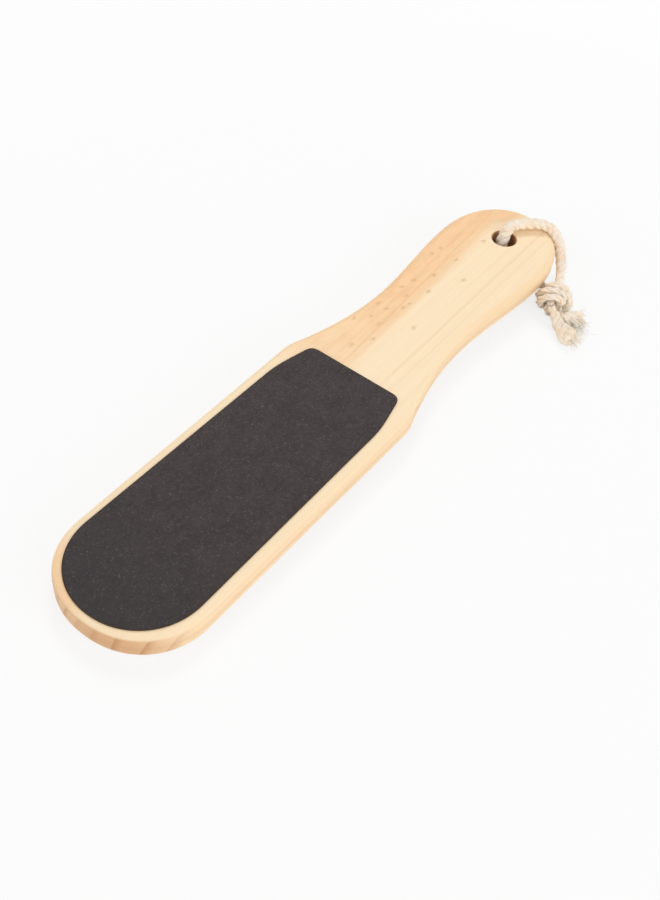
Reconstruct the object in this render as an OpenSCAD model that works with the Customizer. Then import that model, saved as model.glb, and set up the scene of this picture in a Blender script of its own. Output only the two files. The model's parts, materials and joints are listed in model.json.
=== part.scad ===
// Wooden foot file: one solid wooden paddle with an abrasive sheet on each face
// and a loop of cotton cord through a hole at the end of the handle.
// It lies on a flat surface at z = 0, coarse side up. The rear sheet's toe edge
// touches the surface, and the handle rests on the stretch of cord under it.
// +X points to the handle's end, +Z points up. All sizes are in millimetres.

/* [Wood] */
// Overall length of the wood
wood_l = 265; // [230:1:290]
// Thickness of the wood
wood_t = 9.6; // [8:0.1:12]
// Width of the blade where the round toe ends
toe_w = 55; // [48:0.2:62]
// Width of the blade at the shoulder
shoulder_w = 56; // [50:0.2:64]
// Width of the handle at the neck
neck_w = 39.8; // [34:0.2:46]
// Width of the handle at its bulge
grip_w = 47.8; // [42:0.2:52]
// Length of the round toe
toe_l = 26.6; // [20:0.2:30]
// Distance from the toe's tip to the shoulder
shoulder_x = 133.5; // [125:0.5:140]
// Distance from the toe's tip to the neck
neck_x = 180.5; // [172:0.5:190]
// Distance from the toe's tip to the bulge
grip_x = 233; // [224:1:236]
// Rounding of the blade's edges
blade_round = 2.3; // [1:0.1:3.5]
// Rounding of the handle's edges
handle_round = 3.4; // [2:0.1:3.8]

/* [Hanging hole] */
// Diameter of the hanging hole
hole_d = 10; // [9:0.1:11]
// Distance from the hole's centre to the handle's end
hole_inset = 22; // [19:0.2:24]
// Chamfer at both mouths of the hole
hole_chamfer = 0.5; // [0.3:0.1:1]

/* [Abrasive sheets] */
// Bare wood left around the toe
sheet_margin = 2.4; // [1.5:0.1:6]
// Width of a sheet behind its round toe
sheet_toe_w = 48.2; // [40:0.2:50]
// Width of a sheet where its sides start to draw in
sheet_side_w = 46.8; // [40:0.2:50]
// Width of a sheet at its square end
sheet_end_w = 39.4; // [30:0.2:44]
// Distance from the wood's toe to the sheet's square end
sheet_end_x = 137.5; // [125:0.5:145]
// Length over which a sheet's sides draw in
sheet_taper_l = 17; // [10:0.2:25]
// Rounding of the corners at the square end
sheet_corner = 3; // [1:0.1:5]
// Thickness of the adhesive film
film_t = 0.1; // [0.05:0.01:0.2]
// Thickness of the backing cloth
cloth_t = 0.25; // [0.15:0.01:0.5]
// Thickness of the grit coat
grit_t = 0.25; // [0.1:0.01:0.5]

/* [Cord] */
// Diameter of the twisted cord
cord_d = 4.2; // [3.6:0.1:4.4]
// Diameter of a strand pulled tight in the knot
knot_strand_d = 3.1; // [2.6:0.1:3.4]
// Diameter of the frayed end of a tail
tail_end_d = 5.6; // [3.4:0.1:6]

/* [Hidden] */

wood_color = "#f0d5ab";
film_color = "#c9b79a";
cloth_color = "#3d3634";
coarse_color = "#464042";
fine_color = "#57504f";
cord_color = "#eddccb";

// Powers of the superellipses and of the curve from shoulder to neck
toe_power = 2.12;
end_power = 2.17;
neck_power = 2.05;
sheet_power = 2.05;
// Length over which the corner at the shoulder is blended
shoulder_blend = 3;
// Length over which the corner of a sheet's side is blended
side_blend = 5;

// Points per stretch of an outline
arc_steps = 28;
side_steps = 5;
blend_steps = 5;
curve_steps = 14;
corner_steps = 4;
round_steps = 6;

// Overrun of the cuts
cut = 1;
// Clearance between the cord's surface and the wood's underside
cord_clear = 0.5;

sheet_t = film_t + cloth_t + grit_t;
hole_x = wood_l - hole_inset;

// The file leans on the cord where that leaves the handle, under its side
sheet_tip = wood_l / 2 - sheet_margin;
cord_out_x = 110;
rest_tilt = asin((cord_d + cord_clear - sheet_t) / (cord_out_x + sheet_tip));
rest_x = sin(rest_tilt) * (wood_t - blade_round + handle_round) / 2;
rest_z = sin(rest_tilt) * sheet_tip + cos(rest_tilt) * sheet_t;

function smooth_step(low, high, v) =
    let (u = min(max((v - low) / (high - low), 0), 1)) u * u * (3 - 2 * u);

// A quarter of a superellipse from the tip at x = 0 to its full half width
function quarter(length, half, power, steps) =
    [for (i = [0:steps]) let (a = 90 * i / steps)
        [length - length * pow(cos(a), 2 / power), half * pow(sin(a), 2 / power)]];

// A blend from one point to another that leaves and arrives along a corner
function blend(start, corner, end, steps) =
    [for (i = [0:steps]) let (u = i / steps, v = 1 - u)
        v * v * start + 2 * u * v * corner + u * u * end];

// Points between two points, without the ends
function between(start, end, steps) =
    [for (i = [1:steps - 1]) start + (end - start) * i / steps];

// Half of an outline joined with its mirror image, counter-clockwise from above
function both_sides(half) =
    concat([for (p = half) [p.x, -p.y]], [for (i = [len(half) - 2:-1:1]) half[i]]);

// Half width of the handle between shoulder and neck, at a share of the way
function neck_half(share) =
    neck_w / 2 + (shoulder_w - neck_w) / 2 * pow(1 - share, neck_power);

function wood_half() =
    let (
        toe = quarter(toe_l, toe_w / 2, toe_power, arc_steps),
        corner = [shoulder_x, shoulder_w / 2],
        side_end = toe[arc_steps] + (corner - toe[arc_steps])
            * (1 - shoulder_blend / (shoulder_x - toe_l)),
        blend_share = shoulder_blend / (neck_x - shoulder_x),
        curve_start = [shoulder_x + shoulder_blend, neck_half(blend_share)],
        end_l = wood_l - grip_x,
        end_arc = quarter(end_l, grip_w / 2, end_power, arc_steps)
    )
    concat(
        toe,
        between(toe[arc_steps], side_end, side_steps),
        blend(side_end, corner, curve_start, blend_steps),
        [for (i = [1:curve_steps]) let (s = blend_share + (1 - blend_share) * i / curve_steps)
            [shoulder_x + (neck_x - shoulder_x) * s, neck_half(s)]],
        [for (i = [1:curve_steps - 1]) let (s = i / curve_steps)
            [neck_x + (grip_x - neck_x) * s,
             neck_w / 2 + (grip_w - neck_w) / 2 * smooth_step(0, 1, s)]],
        [for (i = [arc_steps:-1:0]) [wood_l - end_arc[i].x, end_arc[i].y]]
    );

// Unit normals that point out of a closed outline
function normals(line) =
    let (n = len(line))
    [for (i = [0:n - 1])
        let (d = line[(i + 1) % n] - line[(i + n - 1) % n]) [d.y, -d.x] / norm(d)];

// Rounding of the wood's edge, larger on the handle than on the blade
function edge_round(x) =
    blade_round + (handle_round - blade_round) * smooth_step(shoulder_x, neck_x, x);

// The outline at one step of the edge's rounding, up to 90 degrees either way
function wood_ring(line, outward, turn, top) =
    [for (i = [0:len(line) - 1])
        let (
            r = edge_round(line[i].x),
            p = line[i] - outward[i] * r * (1 - cos(turn)),
            z = top ? wood_t - r + r * sin(turn) : r - r * sin(turn)
        )
        [p.x, p.y, z]];

// A closed skin over rings of equal length, listed from the first end to the last
module skin(rings) {
    n = len(rings[0]);
    points = [for (ring = rings) each ring];
    sides = [for (k = [0:len(rings) - 2], i = [0:n - 1]) let (j = (i + 1) % n)
        each [[k * n + i, k * n + n + i, k * n + n + j], [k * n + i, k * n + n + j, k * n + j]]];
    first = [for (i = [0:n - 1]) i];
    last = [for (i = [n - 1:-1:0]) (len(rings) - 1) * n + i];
    polyhedron(points, concat([first], sides, [last]), convexity = 6);
}

// Places a piece drawn on the wood, whose toe is at x = 0 and underside at z = 0
module at_rest() {
    translate([rest_x, 0, rest_z]) rotate([0, -rest_tilt, 0])
        translate([-wood_l / 2, 0, 0]) children();
}

module wood_blank() {
    line = both_sides(wood_half());
    outward = normals(line);
    rings = concat(
        [for (k = [round_steps:-1:0]) wood_ring(line, outward, 90 * k / round_steps, false)],
        [for (k = [0:round_steps]) wood_ring(line, outward, 90 * k / round_steps, true)]
    );
    skin(rings);
}

module hanging_hole() {
    mouth_r = hole_d / 2 + hole_chamfer;
    translate([hole_x, 0, -cut]) cylinder(d = hole_d, h = wood_t + 2 * cut, $fn = 64);
    translate([hole_x, 0, -cut])
        cylinder(r1 = mouth_r + cut, r2 = hole_d / 2, h = hole_chamfer + cut, $fn = 64);
    translate([hole_x, 0, wood_t - hole_chamfer])
        cylinder(r1 = hole_d / 2, r2 = mouth_r + cut, h = hole_chamfer + cut, $fn = 64);
}

module wood_body() {
    color(wood_color) at_rest() difference() {
        wood_blank();
        hanging_hole();
    }
}

function sheet_half() =
    let (
        toe = quarter(sheet_toe_w / 2, sheet_toe_w / 2, sheet_power, arc_steps),
        side = [sheet_end_x - sheet_taper_l, sheet_side_w / 2],
        corner = [sheet_end_x, sheet_end_w / 2],
        first = [for (p = toe) [p.x + sheet_margin, p.y]],
        along = (side - first[arc_steps]) / norm(side - first[arc_steps]),
        draw = (corner - side) / norm(corner - side)
    )
    concat(
        first,
        blend(side - along * side_blend, side, side + draw * side_blend, blend_steps),
        blend(corner - draw * sheet_corner, corner, corner - [0, sheet_corner], corner_steps),
        [[sheet_end_x, 0]]
    );

// One layer of a sheet, between two heights over the wood's face
module sheet_layer(low, high) {
    translate([0, 0, low]) linear_extrude(high - low) polygon(both_sides(sheet_half()));
}

module front_layer(low, high) {
    at_rest() translate([0, 0, wood_t]) sheet_layer(low, high);
}

module rear_layer(low, high) {
    at_rest() sheet_layer(-high, -low);
}

module front_adhesive_film() { color(film_color) front_layer(0, film_t); }
module front_backing_cloth() { color(cloth_color) front_layer(film_t, film_t + cloth_t); }
module coarse_grit_coat() { color(coarse_color) front_layer(film_t + cloth_t, sheet_t); }
module rear_adhesive_film() { color(film_color) rear_layer(0, film_t); }
module rear_backing_cloth() { color(cloth_color) rear_layer(film_t, film_t + cloth_t); }
module fine_grit_coat() { color(fine_color) rear_layer(film_t + cloth_t, sheet_t); }

// The knot: both ends of the cord go up the middle, out, down around the middle
// and up the middle again, half a turn apart, like one overhand knot tied in two
knot_place = [101.4, -31.4, 5.4];
knot_heading = 33;
knot_turn = 450;
knot_play = 0.36;
// How far the knot is pressed flat by the handle's weight, as a share of its height
knot_flat_share = 0.72;
knot_steps = 44;
core_r = (knot_strand_d + knot_play) / sqrt(2);
wrap_r = core_r + knot_strand_d + knot_play;
wrap_top = (knot_strand_d + knot_play) * knot_turn / 360;
knot_lead = wrap_top + knot_strand_d;

// Height along the knot's axis, distance from it and angle, at a share of a strand
function knot_height(s) =
    (wrap_top + knot_lead) * (smooth_step(-0.05, 0.32, s) + smooth_step(0.68, 1.05, s))
    - 2 * wrap_top * smooth_step(0.32, 0.68, s) - knot_lead;
function knot_radius(s) =
    core_r + (wrap_r - core_r) * (smooth_step(0.23, 0.384, s) - smooth_step(0.616, 0.77, s));
function knot_angle(s, half) = 45 + 180 * half + knot_turn * smooth_step(0.27, 0.73, s);

// A place given along the knot's axis, across it and up, in the part's own frame
function on_knot(along, across, up) =
    knot_place + [
        along * cos(knot_heading) - across * sin(knot_heading),
        along * sin(knot_heading) + across * cos(knot_heading),
        up * knot_flat_share
    ];

// One strand from the tail's side to the loop's side
function knot_strand(half) =
    [for (i = [0:knot_steps])
        let (s = i / knot_steps, r = knot_radius(s), a = knot_angle(s, half))
        on_knot(knot_height(s), r * cos(a), r * sin(a))];

// Route of the cord: from the knot over the handle's end, down through the hole
// and back to the knot under the handle
loop_route = [
    [111.9, -27.6, 6.8], [115.9, -26.3, 7.3], [119.6, -24.6, 8.3], [122.9, -22.3, 9.9], [125.7, -19.4, 12],
    [127.6, -16, 14.3], [128, -12.2, 16.3], [126.5, -8.4, 17.2], [123.5, -4.8, 17.2], [120.3, -2, 17.2],
    [117.2, -0.1, 17.2], [114.3, 0.8, 16.4], [112, 1, 13.9], [110.8, 0.8, 10.6], [110.3, 0.2, 7.5],
    [110.2, -1.3, 4.7], [110.3, -4, 2.55], [110.4, -8, 2.15], [110.4, -12.8, 2.15], [110.2, -17.2, 2.15],
    [109.6, -21, 2.35], [108.2, -24.1, 3.15]
];
tail_a_route = [
    [92.8, -37.2, 4.6], [90.8, -40, 3.6], [89.4, -43.4, 3.1], [87.6, -46.4, 2.9], [85.7, -49.2, 2.9]
];
tail_b_route = [
    [96.2, -38.2, 3.6], [98.7, -40.7, 3], [100.4, -43.5, 2.9], [101.8, -46.6, 2.9]
];

// Catmull-Rom curve through every point but the first and the last
function curve(route, steps) =
    [for (i = [1:len(route) - 3], k = [0:steps - 1])
        let (a = route[i - 1], b = route[i], c = route[i + 1], d = route[i + 2], u = k / steps)
        (2 * b + (c - a) * u + (2 * a - 5 * b + 4 * c - d) * u * u
            + (3 * b - a - 3 * c + d) * u * u * u) / 2];

strand_a = knot_strand(0);
strand_b = knot_strand(1);
loop_line = curve(concat([strand_a[knot_steps - 3], strand_a[knot_steps]], loop_route,
    [strand_b[knot_steps], strand_b[knot_steps - 3]]), 2);
function tail_line(strand, route) =
    let (last = route[len(route) - 1])
    concat(curve(concat([strand[3], strand[0]], route, [2 * last - route[len(route) - 2]]), 2),
        [last]);
tail_a = tail_line(strand_a, tail_a_route);
tail_b = tail_line(strand_b, tail_b_route);
function reverse(list) = [for (i = [len(list) - 1:-1:0]) list[i]];

// The whole cord from one tail's tip to the other's
tail_a_end = len(tail_a) - 1;
loop_start = tail_a_end + knot_steps;
loop_end = loop_start + len(loop_line);
tail_b_start = loop_end + knot_steps;
cord_line = concat(
    reverse(tail_a), [for (i = [1:knot_steps - 1]) strand_a[i]],
    loop_line,
    reverse(strand_b), [for (i = [1:len(tail_b) - 1]) tail_b[i]]
);
cord_end = len(cord_line) - 1;
// Rings over which the cord is drawn down to the knot
draw_rings = 6;

function cord_radius(i) =
    i < tail_a_end ? tail_radius(i / tail_a_end)
    : i > tail_b_start ? tail_radius((cord_end - i) / (cord_end - tail_b_start))
    : (knot_strand_d + (cord_d - knot_strand_d)
        * smooth_step(0, draw_rings, min(i - loop_start, loop_end - i))) / 2;
function tail_radius(share) =
    (tail_end_d + (knot_strand_d - tail_end_d) * smooth_step(0, 1, share)) / 2;
// The strands in the knot are pressed flat with it
function cord_flat(i) =
    knot_flat_share + (1 - knot_flat_share)
        * smooth_step(0, draw_rings, max(min(i - loop_start, loop_end - i),
            tail_a_end - i, i - tail_b_start));

function heading(i) =
    let (d = cord_line[min(i + 1, cord_end)] - cord_line[max(i - 1, 0)]) d / norm(d);
// A side direction carried along the cord without turning about it
function carry(i, side) =
    let (t = heading(i), s = side - t * (side * t)) s / norm(s);
function sides_from(i, side) =
    i > cord_end ? [] : let (s = carry(i, side)) concat([s], sides_from(i + 1, s));
cord_sides = sides_from(0, [0, 0, 1]);
cord_facets = 8;

function cord_ring(i) =
    let (t = heading(i), s = cord_sides[i], b = cross(t, s), r = cord_radius(i), f = cord_flat(i))
    [for (k = [0:cord_facets - 1])
        let (a = 360 * k / cord_facets, p = r * (cos(a) * s + sin(a) * b))
        cord_line[i] + [p.x, p.y, p.z * f]];

module cord_piece(first, last) {
    color(cord_color) skin([for (i = [first:last]) cord_ring(i)]);
}

module cord_loop() { cord_piece(loop_start, loop_end); }
module cord_knot() {
    cord_piece(tail_a_end, loop_start);
    cord_piece(loop_end, tail_b_start);
}
module cord_tail_a() { cord_piece(0, tail_a_end); }
module cord_tail_b() { cord_piece(tail_b_start, cord_end); }

wood_body();
front_adhesive_film();
front_backing_cloth();
coarse_grit_coat();
rear_adhesive_film();
rear_backing_cloth();
fine_grit_coat();
cord_loop();
cord_knot();
cord_tail_a();
cord_tail_b();
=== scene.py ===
"""Looks of the wooden foot file: pine paddle, two abrasive sheets and a hanging cord of cotton twine.

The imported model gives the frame. Sizes are in millimetres and are turned into metres by MM, but for the
studio's, which are in metres. A span is a pair of numbers: where a share is 0, and where it is 1.
"""
from __future__ import annotations

import json
import logging
import math
import random
from dataclasses import dataclass, field
from enum import Enum
from typing import Sequence

import bmesh
import bpy
from mathutils import Matrix, Vector, noise

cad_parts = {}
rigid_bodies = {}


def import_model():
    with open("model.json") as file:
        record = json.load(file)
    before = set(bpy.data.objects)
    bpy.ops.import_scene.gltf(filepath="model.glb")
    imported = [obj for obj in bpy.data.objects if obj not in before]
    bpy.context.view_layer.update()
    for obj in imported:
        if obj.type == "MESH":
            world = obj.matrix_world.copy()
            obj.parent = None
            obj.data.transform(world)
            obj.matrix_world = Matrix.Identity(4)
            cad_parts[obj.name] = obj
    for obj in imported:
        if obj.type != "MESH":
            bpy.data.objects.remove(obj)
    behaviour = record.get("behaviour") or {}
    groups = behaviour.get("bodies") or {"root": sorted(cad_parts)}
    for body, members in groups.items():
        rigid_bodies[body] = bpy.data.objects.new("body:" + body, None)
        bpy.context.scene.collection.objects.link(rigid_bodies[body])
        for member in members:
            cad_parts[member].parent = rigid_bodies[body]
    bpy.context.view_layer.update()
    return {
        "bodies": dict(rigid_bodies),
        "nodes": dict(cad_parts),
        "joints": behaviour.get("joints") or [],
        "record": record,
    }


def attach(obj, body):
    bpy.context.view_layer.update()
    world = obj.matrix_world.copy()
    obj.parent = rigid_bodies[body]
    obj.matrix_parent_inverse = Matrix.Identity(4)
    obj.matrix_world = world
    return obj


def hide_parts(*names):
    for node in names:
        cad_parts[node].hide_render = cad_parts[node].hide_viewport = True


MM = 0.001
WHITE = (255, 255, 255)
DOUBLES_GAP = 0.0001
Colour = tuple[int, int, int]
Pair = tuple[float, float]
Span = tuple[float, float]
Triple = tuple[float, float, float]
LOG = logging.getLogger("foot_file")


def linear(colour: Colour) -> tuple[float, float, float, float]:
    """Turns a colour as it looks on screen, 0 to 255, into a shader's linear colour."""
    shares = [part / 255 for part in colour]
    return (*[s / 12.92 if s <= 0.04045 else ((s + 0.055) / 1.055) ** 2.4 for s in shares], 1.0)


def smooth_step(start: float, end: float, value: float) -> float:
    """Goes smoothly from 0 at start to 1 at end, which may also be the lower number."""
    share = min(max((value - start) / (end - start), 0.0), 1.0)
    return share * share * (3 - 2 * share)


def mix(start: float, end: float, share: float) -> float:
    """Gives the number at a share of the way between two numbers."""
    return start + (end - start) * share


class Sock:
    """A shader value that can be used in Python sums, each of which adds a Math node."""

    def __init__(self, graph: Graph, socket: bpy.types.NodeSocket) -> None:
        """Wraps a socket of the graph's tree."""
        self.graph = graph
        self.socket = socket

    def math(self, operation: str, *values: Sock | float) -> Sock:
        """Adds a Math node with this value first and the other values after it."""
        sockets = {place: value for place, value in enumerate((self, *values))}
        return self.graph.node("ShaderNodeMath", {"operation": operation}, sockets)

    def __add__(self, other: Sock | float) -> Sock:
        """Adds."""
        return self.math("ADD", other)

    __radd__ = __add__

    def __mul__(self, other: Sock | float) -> Sock:
        """Multiplies."""
        return self.math("MULTIPLY", other)

    __rmul__ = __mul__

    def __sub__(self, other: Sock | float) -> Sock:
        """Subtracts."""
        return self.math("SUBTRACT", other)

    def __rsub__(self, other: float) -> Sock:
        """Subtracts this value from a number."""
        return (self * -1.0).math("ADD", other)

    def __truediv__(self, other: Sock | float) -> Sock:
        """Divides."""
        return self.math("DIVIDE", other)

    def __abs__(self) -> Sock:
        """Drops the sign."""
        return self.math("ABSOLUTE")

    def least(self, other: Sock | float) -> Sock:
        """Gives the lower of two values."""
        return self.math("MINIMUM", other)

    def smooth(self, start: float, end: float) -> Sock:
        """Goes smoothly from 0 to 1 over a span.

        Args:
            start: Where it is 0.
            end: Where it is 1, which may also be the lower number.

        Returns:
            The share, from 0 to 1.
        """
        sockets = {"Value": self, "From Min": min(start, end), "From Max": max(start, end)}
        rise = self.graph.node("ShaderNodeMapRange", {"interpolation_type": "SMOOTHSTEP"}, sockets)
        return 1.0 - rise if start > end else rise


class Graph:
    """Builds the nodes of one material or world."""

    def __init__(self, tree: bpy.types.NodeTree) -> None:
        """Empties the tree."""
        self.tree = tree
        tree.nodes.clear()

    def node(self, kind: str, settings: dict | None = None, sockets: dict | None = None,
             output: int | str = 0) -> Sock:
        """Adds a node.

        Args:
            kind: The node's type.
            settings: Properties to set first. The stops of a ramp go under "stops".
            sockets: Values or links by a socket's identifier, name or number.
            output: Name, identifier or number of the output that is wanted.

        Returns:
            That output, or the first input of a node that has none.
        """
        made = self.tree.nodes.new(kind)
        for name, value in (settings or {}).items():
            if name == "stops":
                self.set_stops(made.color_ramp, value)
            else:
                setattr(made, name, value)
        for key, value in (sockets or {}).items():
            socket = self.find(made.inputs, key)
            if isinstance(value, Sock):
                self.tree.links.new(value.socket, socket)
            else:
                socket.default_value = value
        return Sock(self, self.find(made.outputs, output) if made.outputs else made.inputs[0])

    @staticmethod
    def find(sockets: Sequence, key: int | str) -> bpy.types.NodeSocket:
        """Finds a socket.

        Args:
            sockets: A node's inputs or outputs.
            key: The socket's number, identifier or name.

        Returns:
            The socket.
        """
        if isinstance(key, int):
            return sockets[key]
        return next((s for s in sockets if s.identifier == key), None) or sockets[key]

    @staticmethod
    def set_stops(ramp: bpy.types.ColorRamp, stops: Sequence[Pair]) -> None:
        """Sets a ramp's stops.

        Args:
            ramp: The ramp.
            stops: Where each stop is, and its grey, both from 0 to 1.
        """
        while len(ramp.elements) > 1:
            ramp.elements.remove(ramp.elements[-1])
        for number, (place, grey) in enumerate(stops):
            stop = ramp.elements[0] if number == 0 else ramp.elements.new(place)
            stop.position = place
            stop.color = (grey, grey, grey, 1)

    def blend(self, share: Sock | float, first: Sock | Colour, second: Sock | Colour) -> Sock:
        """Mixes two colours.

        Args:
            share: Share of the second colour.
            first: The first colour.
            second: The second colour.

        Returns:
            The mixed colour.
        """
        ends = [end if isinstance(end, Sock) else linear(end) for end in (first, second)]
        sockets = {"Factor_Float": share, "A_Color": ends[0], "B_Color": ends[1]}
        return self.node("ShaderNodeMix", {"data_type": "RGBA"}, sockets, "Result_Color")

    def stretch(self, vector: Sock, scale: Triple) -> Sock:
        """Scales a vector along its axes."""
        return self.node("ShaderNodeVectorMath", {"operation": "MULTIPLY"}, {0: vector, 1: scale})

    def noise(self, vector: Sock, scale: float, detail: float = 2, rough: float = 0.5) -> Sock:
        """Gives a soft noise from 0 to 1."""
        sockets = {"Vector": vector, "Scale": scale, "Detail": detail, "Roughness": rough}
        return self.node("ShaderNodeTexNoise", {}, sockets, "Fac")

    def streaks(self, vector: Sock, scale: Triple, detail: float = 2, rough: float = 0.5) -> Sock:
        """Gives a soft noise whose scale differs along the axes."""
        return self.noise(self.stretch(vector, scale), 1, detail, rough)

    def cells(self, vector: Sock, scale: float, output: str = "Distance") -> Sock:
        """Gives the distance to the nearest of many scattered points, or a colour for each."""
        return self.node("ShaderNodeTexVoronoi", {}, {"Vector": vector, "Scale": scale}, output)

    def outputs(self, sock: Sock, *names: str) -> list[Sock]:
        """Gives more outputs of the node that a value comes from."""
        return [Sock(self, sock.socket.node.outputs[name]) for name in names]

    def parts(self, vector: Sock) -> list[Sock]:
        """Splits a vector into x, y and z."""
        return self.outputs(self.node("ShaderNodeSeparateXYZ", {}, {"Vector": vector}), "X", "Y", "Z")

    def attribute(self, name: str) -> Sock:
        """Reads a number that is stored on the mesh."""
        return self.node("ShaderNodeAttribute", {"attribute_name": name}, {}, "Fac")

    def coordinates(self, output: str = "Object") -> Sock:
        """Gives the piece's own coordinates, or its normal."""
        return self.node("ShaderNodeTexCoord", {}, {}, output)

    def bump(self, height: Sock, depth_mm: float, strength: float = 1.0) -> Sock:
        """Turns a height from 0 to 1 into a bent normal."""
        sockets = {"Height": height, "Distance": depth_mm * MM, "Strength": strength}
        return self.node("ShaderNodeBump", {}, sockets)

    def surface(self, sockets: dict) -> None:
        """Ends a material in a Principled shader."""
        shader = self.node("ShaderNodeBsdfPrincipled", {}, sockets)
        self.node("ShaderNodeOutputMaterial", {}, {"Surface": shader})


def new_material(name: str) -> tuple[bpy.types.Material, Graph]:
    """Makes an empty material with nodes.

    Args:
        name: Its name.

    Returns:
        The material and its graph.
    """
    material = bpy.data.materials.new(name)
    material.use_nodes = True
    return material, Graph(material.node_tree)


def add_object(name: str, data: bpy.types.ID) -> bpy.types.Object:
    """Adds an object to the scene.

    Args:
        name: Its name.
        data: Its mesh, camera or lamp.

    Returns:
        The object.
    """
    made = bpy.data.objects.new(name, data)
    bpy.context.scene.collection.objects.link(made)
    return made


@dataclass(frozen=True)
class FileFrame:
    """The file's own frame, in mm: x from the toe's tip, y across, z up from the wood's underside."""

    joint_place: Vector
    joint_axis: Vector
    hole_x: float = 243
    thickness: float = 9.6

    @property
    def tilt(self) -> float:
        """Angle by which the handle is raised, in radians."""
        return math.atan2(-self.joint_axis.x, self.joint_axis.z)

    @property
    def matrix(self) -> Matrix:
        """Matrix that takes the file's millimetres to the row frame's metres.

        Returns:
            The matrix.
        """
        turn = Matrix.Rotation(-self.tilt, 4, "Y")
        centre = Matrix.Translation(Vector((-self.hole_x, 0, -self.thickness / 2)))
        return Matrix.Translation(self.joint_place) @ turn @ Matrix.Scale(MM, 4) @ centre

    @property
    def along(self) -> Vector:
        """Direction from the toe to the handle's end, in the row frame."""
        return (self.matrix.to_3x3() @ Vector((1, 0, 0))).normalized()

    @property
    def up(self) -> Vector:
        """Direction out of the file's front face, in the row frame."""
        return (self.matrix.to_3x3() @ Vector((0, 0, 1))).normalized()

    def coordinates(self, graph: Graph) -> Sock:
        """Gives the shader's Object coordinates in the file's millimetres.

        Args:
            graph: The material's graph.

        Returns:
            The coordinates.
        """
        back = self.matrix.inverted()
        sockets = {
            "Vector": graph.coordinates(),
            "Location": back.to_translation(),
            "Rotation": back.to_euler(),
            "Scale": (1 / MM, 1 / MM, 1 / MM),
        }
        return graph.node("ShaderNodeMapping", {"vector_type": "POINT"}, sockets)


@dataclass(frozen=True)
class WoodSpot:
    """What the wood's shader knows about a place.

    It knows the place in the file's millimetres, how far the surface faces the file's ends (end) and
    turns away from its flat faces (turn), both from 0 to 1, and the streaks and fibres of the grain.
    """

    place: Sock
    x: Sock
    y: Sock
    z: Sock
    end: Sock
    turn: Sock
    streaks: Sock
    fibres: Sock


@dataclass(frozen=True)
class WoodLayer:
    """A colour on a stretch of the wood, by spans along it, across it and of turning from its faces."""

    colour: Colour
    strength: float
    along: Span | None = None
    across: Span | None = None
    turn: Span | None = None

    def over(self, graph: Graph, spot: WoodSpot, colour: Sock) -> Sock:
        """Lays the layer over a colour.

        Args:
            graph: The material's graph.
            spot: The place on the wood.
            colour: The colour under the layer.

        Returns:
            The mixed colour.
        """
        spans = ((spot.turn, self.turn), (spot.x, self.along), (spot.y, self.across))
        shares = [value.smooth(*span) for value, span in spans if span]
        return graph.blend(math.prod(shares[1:], start=shares[0]) * self.strength, colour, self.colour)


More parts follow.
